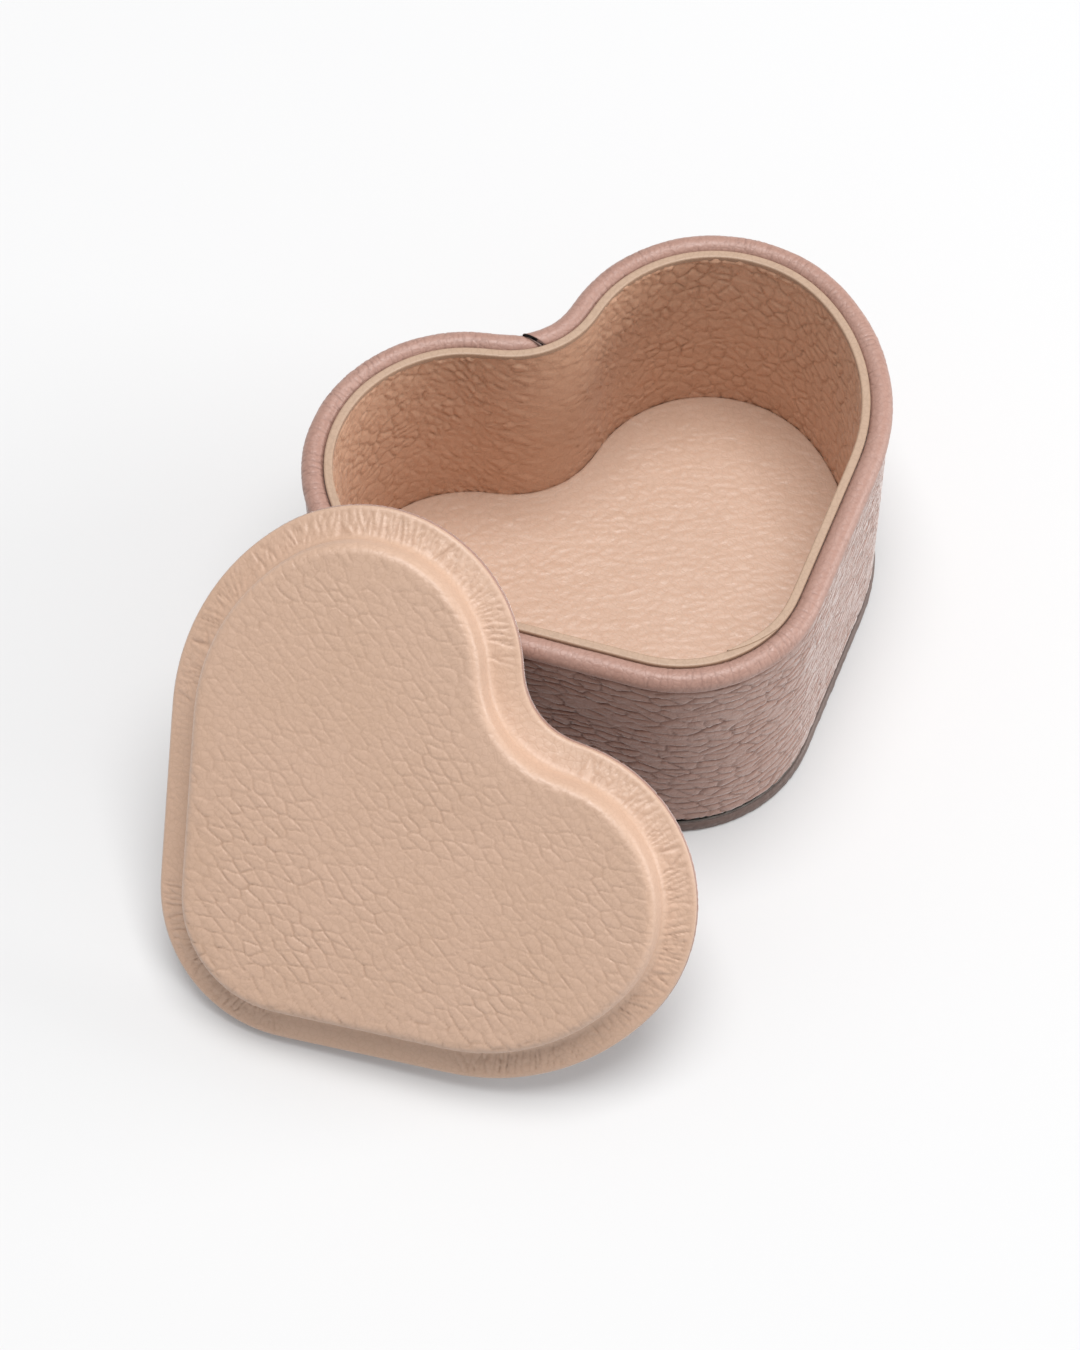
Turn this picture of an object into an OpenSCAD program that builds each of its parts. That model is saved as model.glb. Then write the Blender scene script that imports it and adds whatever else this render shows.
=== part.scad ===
// Heart-shaped leather box with a loose padded lid.
// The origin is on the table under the box, midway between the two hip arcs.
// The heart's tip points to -Y and its cleft to +Y.
// Every offset in this file is measured outwards from the rim's outside.

/* [Heart outline] */
// Width of the box across the rim
heart_w = 110; // [100:1:130]
// Radius of the rounded tip
tip_r = 26.8; // [24:0.2:30]
// Angle of the straight sides, from the X axis
side_a = 42.8; // [40:0.2:46]
// Radius of the wide arc at each hip
hip_r = 42.2; // [40:0.2:43]
// Turn of the hip arc past the X axis
hip_end_a = 9.1; // [4:0.1:14]
// Radius of each lobe's crown
crown_r = 29.6; // [28:0.2:31]
// Radius of the hollow in the cleft
notch_r = 12.2; // [10:0.2:14]

/* [Box] */
// Height of the rim's top above the table
box_h = 52; // [40:1:80]
// Diameter of the rolled rim
rim_d = 4.2; // [3.6:0.1:5]
// Width of the filler strip inside the rolled rim
rim_filler_w = 2.2; // [1.8:0.1:2.4]
// Height of the lining's edge below the rim's top
lining_drop = 0.5; // [0:0.1:1.5]
// Thickness of the wall board
wall_t = 2.2; // [1.8:0.1:2.4]
// Thickness of the outer leather
leather_t = 0.9; // [0.7:0.1:1]
// How far the wall stands back from the rim's outside
wall_inset = 0.5; // [0.3:0.1:0.8]
// Width of the seam in the rim and the wall leather at the cleft
seam_w = 0.2; // [0.1:0.05:0.4]

/* [Lining and floor] */
// Thickness of the lining's card
lining_card_t = 0.6; // [0.4:0.1:0.8]
// Thickness of the lining leather
lining_t = 0.8; // [0.6:0.1:1]
// Height of the floor's surface above the table
floor_z = 7; // [6.6:0.1:10]
// Thickness of the floor board
floor_board_t = 1.4; // [1:0.1:1.6]
// Gap between the floor panel and the lining
floor_gap = 0.15; // [0.1:0.05:0.5]

/* [Base] */
// Height of the base plate
base_h = 2.3; // [2:0.1:3]
// Height of the shadow gap above the base plate
base_gap = 1.2; // [0.8:0.1:1.6]
// How far the base plate stands back from the rim's outside
base_inset = 0; // [0:0.1:1.5]
// How far the card in the shadow gap stands back from the rim's outside
spacer_inset = 2.6; // [2:0.1:4]

/* [Lid] */
// Thickness of the lid from the flange's underside to its outer face
lid_t = 5.4; // [5.2:0.1:7]
// Radius of the lid's soft outer edge
lid_edge_r = 4; // [3.5:0.1:4.1]
// How far the lid stands back from the rim's outside
lid_inset = 0.8; // [0.5:0.1:1.5]
// Thickness of the lid board
lid_board_t = 2; // [1.5:0.1:2.4]
// Height of the raised plug under the lid
plug_h = 7; // [5:0.1:9]
// Gap between the plug and the lining when the lid is on
plug_gap = 0.7; // [0.5:0.1:1.2]
// Thickness of the plug board
plug_board_t = 3; // [2:0.1:3.5]

/* [How the lid leans] */
// Tilt of the lid from level
lid_tilt = 42.1; // [42.1]
// Compass direction, from the X axis, that the lid's underside faces
lid_az = -135.8; // [-135.8]
// Turn of the heart within the lid's own plane
lid_spin = 53.2; // [53.2]
// Where the lid's own origin is, along X
lid_x = -55.1; // [-55.1]
// Where the lid's own origin is, along Y
lid_y = -50.2; // [-50.2]
// Clearance between the lid's edge and the table
lid_clear = 0.1; // [0.1:0.1:1]

/* [Hidden] */
$fn = 96;
eps = 0.05;
// Neighbouring arcs overlap by this much, so that they cross and don't just touch.
bite = 0.05;
// A rounded edge is a stack of this many level steps.
edge_steps = 5;

// The outline's centres and tangent points, for the right half.
hip_cx = heart_w / 2 - hip_r;
side_len = (hip_cx + (hip_r - tip_r) * sin(side_a)) / cos(side_a);
tip_cy = -(side_len * sin(side_a) + (hip_r - tip_r) * cos(side_a));
side_n = side_a - 90;
crown_cx = hip_cx + (hip_r - crown_r) * cos(hip_end_a);
crown_cy = (hip_r - crown_r) * sin(hip_end_a);
notch_cy = crown_cy + sqrt(pow(crown_r + notch_r, 2) - pow(crown_cx, 2));
notch_a = atan2(notch_cy - crown_cy, crown_cx);

// Offsets and levels of the box's layers.
rim_r = rim_d / 2;
rim_z = box_h - rim_r;
filler_o = -rim_r + rim_filler_w / 2;
filler_h = rim_filler_w - 0.2;
wall_z0 = base_h + base_gap;
wall_z1 = rim_z - rim_r - eps;
board_o = -wall_inset - leather_t;
lining_o = -rim_d - eps;
card_o = lining_o - lining_card_t;
room_o = card_o - lining_t;
lining_z0 = wall_z0 + floor_board_t;
lining_z1 = box_h - lining_drop;
floor_o = room_o - floor_gap;

// Offsets and levels of the lid's layers, in the lid's own frame.
lid_o = -lid_inset;
lid_low_z = -lid_t + lid_edge_r;
lid_board_o = lid_o - 1.5;
lid_board_z = -leather_t;
lid_pad_z = lid_board_z - lid_board_t;
plug_o = room_o - plug_gap;
// The lowest point of the leaning lid is a corner of its soft edge, beside the tip.
lid_drop = max([for (i = [0:edge_steps - 1])
    sin(lid_tilt) * (tip_r + lid_o - lid_edge_r + step_w(lid_edge_r, i, 2 * edge_steps))
    - cos(lid_tilt) * (-lid_t + lid_edge_r * i / edge_steps)]);
lid_z = lid_clear + lid_drop - tip_cy * sin(lid_tilt) * sin(lid_spin);

function on(c, r, a) = [c[0] + r * cos(a), c[1] + r * sin(a)];

// The heart as a flat shape, grown by o from the rim's outside.
module heart(o = 0) {
    tip = [0, tip_cy];
    hip = [hip_cx, 0];
    crown = [crown_cx, crown_cy];
    corners = [
        on(tip, tip_r + o - bite, side_n),
        on(hip, hip_r + o - bite, side_n),
        on(hip, hip_r + o - 6 * bite, hip_end_a),
        on(crown, crown_r + o - 6 * bite, 180 - notch_a)
    ];
    far = 2 * hip_r;
    difference() {
        union() {
            polygon(concat(corners, [for (i = [3:-1:0]) [-corners[i][0], corners[i][1]]]));
            translate(tip) circle(r = tip_r + o);
            for (s = [0, 1]) mirror([s, 0]) {
                translate(crown) circle(r = crown_r + o + bite);
                intersection() {
                    translate(hip) circle(r = hip_r + o);
                    polygon([hip, on(hip, far, side_n - 10), on(hip, far, hip_end_a)]);
                }
            }
        }
        translate([0, notch_cy]) circle(r = notch_r - o + bite);
    }
}

// A plate of the heart shape, from z0 to z1.
module plate(o, z0, z1) {
    translate([0, 0, z0]) linear_extrude(height = z1 - z0) heart(o);
}

// A wall that follows the heart, from offset o_in to o_out and from z0 to z1.
module wall(o_out, o_in, z0, z1) {
    translate([0, 0, z0]) linear_extrude(height = z1 - z0) difference() {
        heart(o_out);
        heart(o_in);
    }
}

// Half-width at mid-step of a disc of radius r, for the step i of n over its whole height.
function step_w(r, i, n) = r * sqrt(1 - pow((2 * i + 1) / n - 1, 2));

// A round roll of diameter d that follows the heart, in level steps.
module roll(d, mid_o, mid_z) {
    for (i = [0:edge_steps - 1]) {
        w = step_w(d / 2, i, edge_steps);
        wall(mid_o + w, mid_o - w, mid_z + d * (i / edge_steps - 0.5),
            mid_z + d * ((i + 1) / edge_steps - 0.5));
    }
}

// A plate whose lower edge is rounded to radius r, in level steps, with its top at z1.
module soft_plate(o, r, z0, z1) {
    for (i = [0:edge_steps - 1])
        plate(o - r + step_w(r, i, 2 * edge_steps), z0 + r * i / edge_steps,
            z0 + r * (i + 1) / edge_steps);
    plate(o, z0 + r, z1);
}

// The slit where the leather's two ends meet at the cleft.
module seam(z0, z1) {
    translate([-seam_w / 2, notch_cy - notch_r - 8, z0]) cube([seam_w, 12, z1 - z0]);
}

// Puts a piece made in the lid's own frame where the lid leans.
module leaning() {
    translate([lid_x, lid_y, lid_z]) rotate([0, lid_tilt, lid_az]) rotate([0, 0, lid_spin])
        children();
}

module wall_leather() {
    color("rosybrown") difference() {
        wall(-wall_inset, board_o, wall_z0, wall_z1);
        seam(wall_z0 - 1, wall_z1 + 1);
    }
}

module wall_board() {
    color("gray") wall(board_o - eps, board_o - wall_t, wall_z0, wall_z1);
}

module rim_leather() {
    color("rosybrown") difference() {
        roll(rim_d, -rim_r, rim_z);
        wall(filler_o + eps, filler_o - rim_filler_w - eps, rim_z - filler_h / 2 - eps,
            rim_z + filler_h / 2 + eps);
        seam(wall_z1, box_h + 1);
    }
}

module rim_filler() {
    color("beige") wall(filler_o, filler_o - rim_filler_w, rim_z - filler_h / 2, rim_z + filler_h / 2);
}

module lining_card() {
    color("tan") wall(lining_o, card_o + eps, lining_z0, lining_z1);
}

module lining_leather() {
    color("burlywood") wall(card_o, room_o, lining_z0, lining_z1);
}

module floor_board() {
    color("gray") plate(lining_o, wall_z0, wall_z0 + floor_board_t - eps);
}

module floor_padding() {
    color("ivory") plate(floor_o - leather_t, lining_z0, floor_z - leather_t);
}

module floor_leather() {
    color("bisque") difference() {
        plate(floor_o, lining_z0, floor_z);
        plate(floor_o - leather_t + eps, lining_z0 - 1, floor_z - leather_t + eps);
    }
}

module base_spacer() {
    color("dimgray") plate(-spacer_inset, base_h, wall_z0 - eps);
}

module base_board() {
    color("gray") plate(-base_inset - leather_t - eps, leather_t + eps, base_h - eps);
}

module base_leather() {
    color("rosybrown") difference() {
        plate(-base_inset, 0, base_h - eps);
        plate(-base_inset - leather_t, leather_t, base_h + 1);
    }
}

module lid_top_leather() {
    color("rosybrown") leaning() difference() {
        soft_plate(lid_o, lid_edge_r, -lid_t, lid_board_z - eps);
        soft_plate(lid_o - leather_t, lid_edge_r - leather_t, -lid_t + leather_t, lid_board_z + 1);
    }
}

module lid_padding() {
    color("ivory") leaning() plate(lid_o - 3.7, -lid_t + leather_t + eps, lid_pad_z - eps);
}

module lid_board() {
    color("gray") leaning() plate(lid_board_o, lid_pad_z, lid_board_z - eps);
}

module plug_board() {
    color("gray") leaning() plate(plug_o - lining_t - eps, lid_board_z, lid_board_z + plug_board_t);
}

module plug_padding() {
    color("ivory") leaning()
        plate(plug_o - lining_t - 0.5, lid_board_z + plug_board_t + eps, plug_h - lining_t - eps);
}

module lid_lining_leather() {
    color("burlywood") leaning() difference() {
        union() {
            plate(lid_o - 0.3, lid_board_z, 0);
            plate(plug_o, -eps, plug_h);
        }
        plate(plug_o - lining_t, lid_board_z - 1, plug_h - lining_t);
    }
}

wall_leather();
wall_board();
rim_leather();
rim_filler();
lining_leather();
lining_card();
floor_leather();
floor_padding();
floor_board();
base_leather();
base_board();
base_spacer();
lid_top_leather();
lid_padding();
lid_board();
plug_board();
plug_padding();
lid_lining_leather();
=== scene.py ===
"""Looks of a heart-shaped leather keepsake box with a rolled rim and a loose padded lid.

Lengths are millimetres until mesh_from() turns them into metres. The camera and the lights
are placed in metres. Offsets are measured outwards from the rim's outside.
"""
import math

import bpy
import numpy as np
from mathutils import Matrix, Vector
from mathutils.geometry import delaunay_2d_cdt


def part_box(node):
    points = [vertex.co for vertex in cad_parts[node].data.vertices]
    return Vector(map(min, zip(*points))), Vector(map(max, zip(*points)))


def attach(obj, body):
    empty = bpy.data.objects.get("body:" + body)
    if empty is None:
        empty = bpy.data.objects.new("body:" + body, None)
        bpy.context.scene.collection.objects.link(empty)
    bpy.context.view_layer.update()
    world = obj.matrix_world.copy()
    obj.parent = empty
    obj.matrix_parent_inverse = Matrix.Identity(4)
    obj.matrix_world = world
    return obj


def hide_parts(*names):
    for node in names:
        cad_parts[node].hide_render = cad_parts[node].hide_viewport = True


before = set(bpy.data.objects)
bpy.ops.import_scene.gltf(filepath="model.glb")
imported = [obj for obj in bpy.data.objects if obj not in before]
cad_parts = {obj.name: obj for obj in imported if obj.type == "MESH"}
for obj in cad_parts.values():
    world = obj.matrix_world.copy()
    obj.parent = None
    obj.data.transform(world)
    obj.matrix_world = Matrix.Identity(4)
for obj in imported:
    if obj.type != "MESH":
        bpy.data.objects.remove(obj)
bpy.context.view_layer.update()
MM = 0.001

# ---------------------------------------------------------------- sizes, mm
# The heart's arcs, as the CAD model has them: radii, and angles in degrees.
TIP_R, HIP_R, CROWN_R, NOTCH_R = 26.8, 42.2, 29.6, 12.2
SIDE_A, HIP_END_A = 42.8, 9.1
# Tilt, compass direction and spin of the leaning lid, in degrees.
LID_TILT, LID_AZ, LID_SPIN = 42.1, -135.8, 53.2

# Thickness of the outer leather and of the lining, and the gap that stands for a glue film.
LEATHER_T, LINING_T, GLUE_GAP = 0.9, 0.8, 0.05
# The roll of the rim, and how far the wall's leather lies inside the rim's outside.
RIM_D, WALL_INSET = 4.2, 0.5
# The lid: how far it is set in, its thickness, the round of its edge, its board's inset and
# thickness, the plug's height and the gap between the plug and the lining.
LID_INSET, LID_T, LID_EDGE_R = 0.8, 5.4, 4.0
LID_BOARD_INSET, LID_BOARD_T = 1.5, 2.0
PLUG_H, PLUG_GAP = 7.0, 0.7


def cad_mm(node):
    """Lowest and highest corner of a CAD node, in millimetres."""
    return [np.array(c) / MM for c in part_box(node)]


HEART_W = cad_mm("rim_leather")[1][0] * 2
RIM_TOP = cad_mm("rim_leather")[1][2]
WALL_Z0 = cad_mm("wall_leather")[0][2]
BASE_TOP = cad_mm("base_leather")[1][2]
FLOOR_Z0, FLOOR_Z1 = cad_mm("floor_leather")[0][2], cad_mm("floor_leather")[1][2]
LINING_Z1 = cad_mm("lining_leather")[1][2]
# Offsets of the room inside the box, the base plate and the plug.
ROOM_O = (cad_mm("lining_leather")[1][0] - HEART_W / 2) - LINING_T
BASE_O = cad_mm("base_leather")[1][0] - HEART_W / 2
PLUG_O = ROOM_O - PLUG_GAP


# ---------------------------------------------------------------- the outline
# How many points stand for each arc of the outline and for each rounded corner of a profile.
ARC_POINTS, CORNER_POINTS = 400, 24


def arc_points(centre, radius, a0, a1, side=1):
    """Points and outward normals along an arc, angles in degrees."""
    a = np.radians(np.linspace(a0, a1, ARC_POINTS))
    d = np.column_stack([np.cos(a), np.sin(a)])
    return np.array(centre) + radius * d, side * d


class Outline:
    """The heart's closed outline from the cleft round to the cleft, by arc length.

    It starts down the left side. soften is how many mm its changes of bend are spread over,
    and n the number of its points.
    """

    def __init__(self, soften=1.6, n=4096):
        # The centres of the arcs, each of which meets the next without a corner.
        side_n = SIDE_A - 90
        c, s = math.cos(math.radians(SIDE_A)), math.sin(math.radians(SIDE_A))
        hip_x = HEART_W / 2 - HIP_R
        side = (hip_x + (HIP_R - TIP_R) * s) / c
        tip_y = -(side * s + (HIP_R - TIP_R) * c)
        e = math.radians(HIP_END_A)
        crown = (hip_x + (HIP_R - CROWN_R) * math.cos(e), (HIP_R - CROWN_R) * math.sin(e))
        notch_y = crown[1] + math.sqrt((CROWN_R + NOTCH_R) ** 2 - crown[0] ** 2)
        notch_a = math.degrees(math.atan2(notch_y - crown[1], crown[0]))
        runs = [
            arc_points((0, tip_y), TIP_R, -90, side_n),
            arc_points((hip_x, 0), HIP_R, side_n, HIP_END_A),
            arc_points(crown, CROWN_R, HIP_END_A, 180 - notch_a),
            arc_points((0, notch_y), NOTCH_R, -notch_a, -90, -1),
        ]
        half = np.vstack([r[0] for r in runs])
        loop = np.vstack([(half * [-1, 1])[::-1], half[1:]])
        s_raw = np.append(0, np.cumsum(np.hypot(*np.diff(loop, axis=0).T)))
        self.length = s_raw[-1]
        t = np.arange(n) * self.length / n
        pts = np.column_stack([np.interp(t, s_raw, loop[:, k]) for k in (0, 1)])
        # A little softening, because boards and leather don't change bend abruptly.
        f = np.fft.fftfreq(n, self.length / n)
        keep = np.exp(-0.5 * (2 * math.pi * f * soften) ** 2)
        pts = np.column_stack([np.fft.ifft(np.fft.fft(pts[:, k]) * keep).real for k in (0, 1)])
        tan = np.roll(pts, -1, 0) - np.roll(pts, 1, 0)
        tan /= np.hypot(*tan.T)[:, None]
        nor = np.column_stack([tan[:, 1], -tan[:, 0]])
        turn = np.unwrap(np.arctan2(tan[:, 1], tan[:, 0]))
        bend = np.gradient(turn, self.length / n)
        wrap = lambda a: np.vstack([a, a[:1]])
        self.t = np.append(t, self.length)
        self.pts, self.nor = wrap(pts), wrap(nor)
        self.bend = np.append(bend, bend[0])

    def at(self, s, o):
        """Points at arc length s and offset o, as an array with a last axis of 2."""
        s = np.mod(s, self.length)
        get = lambda a, k: np.interp(s, self.t, a[:, k])
        return np.stack([get(self.pts, k) + o * get(self.nor, k) for k in (0, 1)], -1)

    def bend_at(self, s):
        """How sharply the outline turns at arc length s, in radians per mm."""
        return np.interp(np.mod(s, self.length), self.t, self.bend)


HEART = Outline()
# The point inside the heart that the rings of a flat middle shrink to.
CENTRE = np.array([0.0, -6.0])


def profile(points, radii, step):
    """A polyline with rounded corners, resampled at about one point per step."""
    p = [np.array(q, float) for q in points]
    out = [p[0]]
    for i in range(1, len(p) - 1):
        a, b, c, r = p[i - 1], p[i], p[i + 1], radii[i - 1]
        u, v = (a - b) / np.linalg.norm(a - b), (c - b) / np.linalg.norm(c - b)
        half = math.acos(np.clip(u @ v, -1, 1)) / 2
        cut = r / math.tan(half)
        mid = b + (u + v) / np.linalg.norm(u + v) * r / math.sin(half)
        a0 = math.atan2(*(b + u * cut - mid)[::-1])
        turn = math.atan2(*(b + v * cut - mid)[::-1]) - a0
        turn = (turn + math.pi) % (2 * math.pi) - math.pi
        for k in np.linspace(0, 1, CORNER_POINTS):
            out.append(mid + r * np.array([math.cos(a0 + turn * k), math.sin(a0 + turn * k)]))
    out.append(p[-1])
    out = np.array(out)
    s = np.append(0, np.cumsum(np.hypot(*np.diff(out, axis=0).T)))
    t = np.linspace(0, s[-1], max(2, round(s[-1] / step) + 1))
    return np.column_stack([np.interp(t, s, out[:, k]) for k in (0, 1)])


def swept(s, prof):
    """Grid of points: the profile (offset, height) carried along the outline."""
    s, o = np.meshgrid(s, prof[:, 0], indexing="ij")
    xy = HEART.at(s, o)
    z = np.broadcast_to(prof[:, 1], s.shape)
    return np.concatenate([xy, z[..., None]], -1)


def filled(grid, rings, z=None):
    """Adds rings to a swept grid that shrink from its last ring to the middle."""
    last = grid[:, -1]
    middle = np.append(CENTRE, last[:, 2].mean() if z is None else z)
    q = (np.arange(rings) + 1) / (rings + 1)
    more = last[:, None] * (1 - q)[:, None] + middle * q[:, None]
    return np.concatenate([grid, more], 1)


# ---------------------------------------------------------------- grain
def lattice(cell, seed):
    """Two even random numbers from 0 to 1 for each whole-numbered cell."""
    x, y = (cell[..., k].astype(np.int64) for k in (0, 1))
    out = []
    for salt in (seed * 2 + 1, seed * 2 + 2):
        h = (x * 374761393 + y * 668265263 + salt * 974634777) & 0xFFFFFFFF
        h = ((h ^ (h >> 13)) * 1274126177) & 0xFFFFFFFF
        h = ((h ^ (h >> 15)) * 2246822519) & 0xFFFFFFFF
        out.append(((h ^ (h >> 16)) & 0xFFFFFF) / 0xFFFFFF)
    return out


def noise(p, size, seed):
    """Smooth random field from -1 to 1 with features about size across."""
    q = p / size
    i = np.floor(q)
    f = q - i
    f = f * f * (3 - 2 * f)
    corner = lambda a, b: lattice(i + [a, b], seed)[0]
    low = corner(0, 0) * (1 - f[..., 0]) + corner(1, 0) * f[..., 0]
    high = corner(0, 1) * (1 - f[..., 0]) + corner(1, 1) * f[..., 0]
    return 2 * (low * (1 - f[..., 1]) + high * f[..., 1]) - 1


def ease(x, low, high):
    """0 below low, 1 above high, smooth between."""
    t = np.clip((x - low) / (high - low), 0, 1)
    return t * t * (3 - 2 * t)


def turned(p, degrees):
    """Points seen in axes turned by that angle."""
    c, s = math.cos(math.radians(degrees)), math.sin(math.radians(degrees))
    return np.stack([c * p[..., 0] + s * p[..., 1], c * p[..., 1] - s * p[..., 0]], -1)


# Further, in cells, than any cell looked at can be.
FAR = 99.0


def cells(p, size, seed, jitter=(0.6, 0.9)):
    """Random cells in columns along y, each column shifted by its own amount.

    Returns the distance in mm to the nearest border, how deep that border is from 0 to 1,
    how far it runs along y, and a random height for each cell, tilted a little across it.
    """
    size = np.array(size, float)
    q = p / size
    column = np.floor(q[..., 0])
    first = np.full(q.shape[:-1], FAR)
    second = first.copy()
    pos1, pos2 = np.zeros(q.shape), np.zeros(q.shape)
    tag1, tag2 = first * 0, first * 0
    tilt = np.zeros(q.shape)
    for dx in (-1, 0, 1):
        col = column + dx
        shift = 7 * lattice(np.stack([col, col * 0], -1), seed + 90)[0]
        row = np.floor(q[..., 1] + shift)
        for dy in (-1, 0, 1):
            cell = np.stack([col, row + dy], -1)
            a, b = lattice(cell, seed)
            at = np.stack(
                [col + 0.5 + jitter[0] * (a - 0.5), row + dy + 0.5 + jitter[1] * (b - 0.5) - shift],
                -1,
            )
            far = ((q - at) ** 2).sum(-1)
            tag, lean = lattice(cell, seed + 50)
            nearer, middle = far < first, (far >= first) & (far < second)
            pos2 = np.where(nearer[..., None], pos1, np.where(middle[..., None], at, pos2))
            tag2 = np.where(nearer, tag1, np.where(middle, tag, tag2))
            second = np.where(nearer, first, np.where(middle, far, second))
            pos1 = np.where(nearer[..., None], at, pos1)
            tag1 = np.where(nearer, tag, tag1)
            tilt = np.where(nearer[..., None], np.stack([tag, lean], -1) * 2 - 1, tilt)
            first = np.where(nearer, far, first)
    gap = pos2 - pos1
    wide = np.maximum(np.linalg.norm(gap, axis=-1), 1e-6)
    slope = np.linalg.norm(gap / size, axis=-1) / wide
    edge = (second - first) / (2 * wide) / slope
    # Both cells at a border have to give it the same depth, whichever of them is nearer.
    depth = (tag1 * 7.13 + tag2 * 7.13 + 0.37 * np.abs(tag1 - tag2)) % 1.0
    height = ((q - pos1) * tilt).sum(-1) * 1.6 + 0.5 * tilt[..., 0]
    return edge, depth, (gap[..., 0] / wide) ** 2, height


def pebbled(p, size, seed, crease=0.09, width=0.26, swell=0.06, lean=0.03, fine=0.4,
            jitter=(0.6, 0.9), wander=0.3, shear=0.0, cross=0.6, broken=0.5):
    """Leather grain at p: its height in mm, and its grain value.

    The grain value is from 0 to 1 in a crease and negative on the tops of the cells. The long
    creases run along y. size is the cells' size, crease the creases' depth, width their half
    width, swell the cells' rise and lean how much their heights differ, all in mm. fine is the
    share of the small creases, wander how far the pattern is bent, cross how deep the creases
    across y are, shear slants those, and broken is how much any crease fades along its way.
    """
    size = np.array(size, float)
    # The pattern is bent by a broad warp and a fine one, then slanted.
    warp = np.stack([noise(p, size * 1.9, seed + 5), noise(p, size * 1.9, seed + 6)], -1)
    warp += 0.4 * np.stack([noise(p, size * 0.6, seed + 7), noise(p, size * 0.6, seed + 8)], -1)
    p = p + wander * size * warp
    p = np.stack([p[..., 0], p[..., 1] + shear * p[..., 0]], -1)
    edge, depth, lengthwise, height = cells(p, size, seed, jitter)
    small, small_depth, _, small_height = cells(
        turned(p, 31), size.mean() * 0.5, seed + 1, (0.9, 0.9)
    )
    # How strong each crease is: its own depth, varied over wide areas and along its way.
    strong = 0.45 + 0.65 * depth + 0.25 * noise(p, size * 3, seed + 2)
    strong = strong + broken * noise(p, size * 0.8, seed + 3)
    strong = np.clip(strong, 0.05, 1.2) * (cross + (1 - cross) * lengthwise)
    line = strong * np.exp(-((edge / width) ** 2))
    minor = fine * small_depth * np.exp(-((small / (width * 0.8)) ** 2)) * (1 - 0.5 * strong)
    groove = np.maximum(line, minor)
    # Each cell is a low dome, at a height and tilt of its own.
    dome = 1 - np.exp(-edge / (0.16 * size.mean()))
    h = swell * (dome - 0.6) * (0.35 + 0.65 * strong) + lean * height * dome
    h += 0.25 * fine * lean * small_height
    tops = 0.5 * dome**2 * (0.4 + 0.6 * depth)
    return h - crease * groove, np.clip(groove, 0, 1) - tops


# ---------------------------------------------------------------- meshes
def grid_faces(n, m, round_u, round_v):
    """Faces of an n by m grid of points, closed along either side that is round."""
    i = np.arange(n if round_u else n - 1)
    j = np.arange(m if round_v else m - 1)
    i, j = np.meshgrid(i, j, indexing="ij")
    i1, j1 = (i + 1) % n, (j + 1) % m
    return np.stack([i * m + j, i1 * m + j, i1 * m + j1, i * m + j1], -1).reshape(-1, 4)


def normals_of(verts, quads, tris):
    """Unit vertex normals, each face weighing by its area."""
    total = np.zeros((len(verts), 3))
    for f in (quads, tris):
        if not len(f):
            continue
        # A four-sided face is crossed by its diagonals, a triangle by two of its sides.
        a, b, c, d = (f[:, k] for k in ((0, 2, 1, 3) if f.shape[1] == 4 else (0, 1, 0, 2)))
        n = np.cross(verts[b] - verts[a], verts[d] - verts[c])
        for corner in f.T:
            for k in range(3):
                total[:, k] += np.bincount(corner, n[:, k], len(verts))
    return total / np.maximum(np.linalg.norm(total, axis=1, keepdims=True), 1e-12)


def mesh_from(name, verts, quads, tris=(), height=None, grain=None, place=None):
    """A smooth mesh object from points in mm, raised by height along its normals."""
    tris = np.array(tris, int).reshape(-1, 3)
    if height is not None:
        verts = verts + normals_of(verts, quads, tris) * height[:, None]
    if place is not None:
        verts = place(verts)
    loops = np.concatenate([quads.ravel(), tris.ravel()])
    sizes = np.concatenate([np.full(len(quads), 4), np.full(len(tris), 3)])
    me = bpy.data.meshes.new(name)
    me.vertices.add(len(verts))
    me.vertices.foreach_set("co", (verts * MM).ravel())
    me.loops.add(len(loops))
    me.loops.foreach_set("vertex_index", loops)
    me.polygons.add(len(sizes))
    me.polygons.foreach_set("loop_start", np.append(0, np.cumsum(sizes)[:-1]))
    me.polygons.foreach_set("loop_total", sizes)
    me.update()
    me.validate()
    me.shade_smooth()
    if grain is not None:
        me.attributes.new("grain", "FLOAT", "POINT").data.foreach_set("value", grain)
    ob = bpy.data.objects.new(name, me)
    bpy.context.collection.objects.link(ob)
    return ob


def tube(name, g, height, grain, round_u=True, flip=False):
    """A mesh from a grid whose profile is closed, with its two ends capped if it isn't a loop."""
    n, m = g.shape[:2]
    quads, tris = grid_faces(n, m, round_u, True), np.zeros((0, 3), int)
    verts, height, grain = g.reshape(-1, 3), height.ravel(), grain.ravel()
    if not round_u:
        for k, end in enumerate((0, n - 1)):
            ring = end * m + np.arange(m)
            fan = np.column_stack([ring, np.roll(ring, -1), np.full(m, len(verts))])
            verts = np.vstack([verts, verts[ring].mean(0)])
            height, grain = np.append(height, 0), np.append(grain, 1)
            tris = np.vstack([tris, fan[:, ::-1] if k else fan])
    if flip:
        quads, tris = quads[:, ::-1], tris[:, ::-1]
    return mesh_from(name, verts, quads, tris, height, grain)


def sample(g, i, j):
    """Smooth reading of a grid, closed in i, at fractional places i, j."""
    def weights(f):
        """Catmull-Rom shares of the four neighbours."""
        return (-f + 2 * f**2 - f**3) / 2, (2 - 5 * f**2 + 3 * f**3) / 2, \
            (f + 4 * f**2 - 3 * f**3) / 2, (f**3 - f**2) / 2
    last = g.shape[1] - 1
    i0 = np.floor(i).astype(int)
    j0 = np.minimum(np.floor(j).astype(int), last - 1)
    total = 0
    for a, wa in enumerate(weights((i - i0)[..., None])):
        for b, wb in enumerate(weights((j - j0)[..., None])):
            total = total + wa * wb * g[(i0 + a - 1) % g.shape[0], np.clip(j0 + b - 1, 0, last)]
    return total


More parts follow.
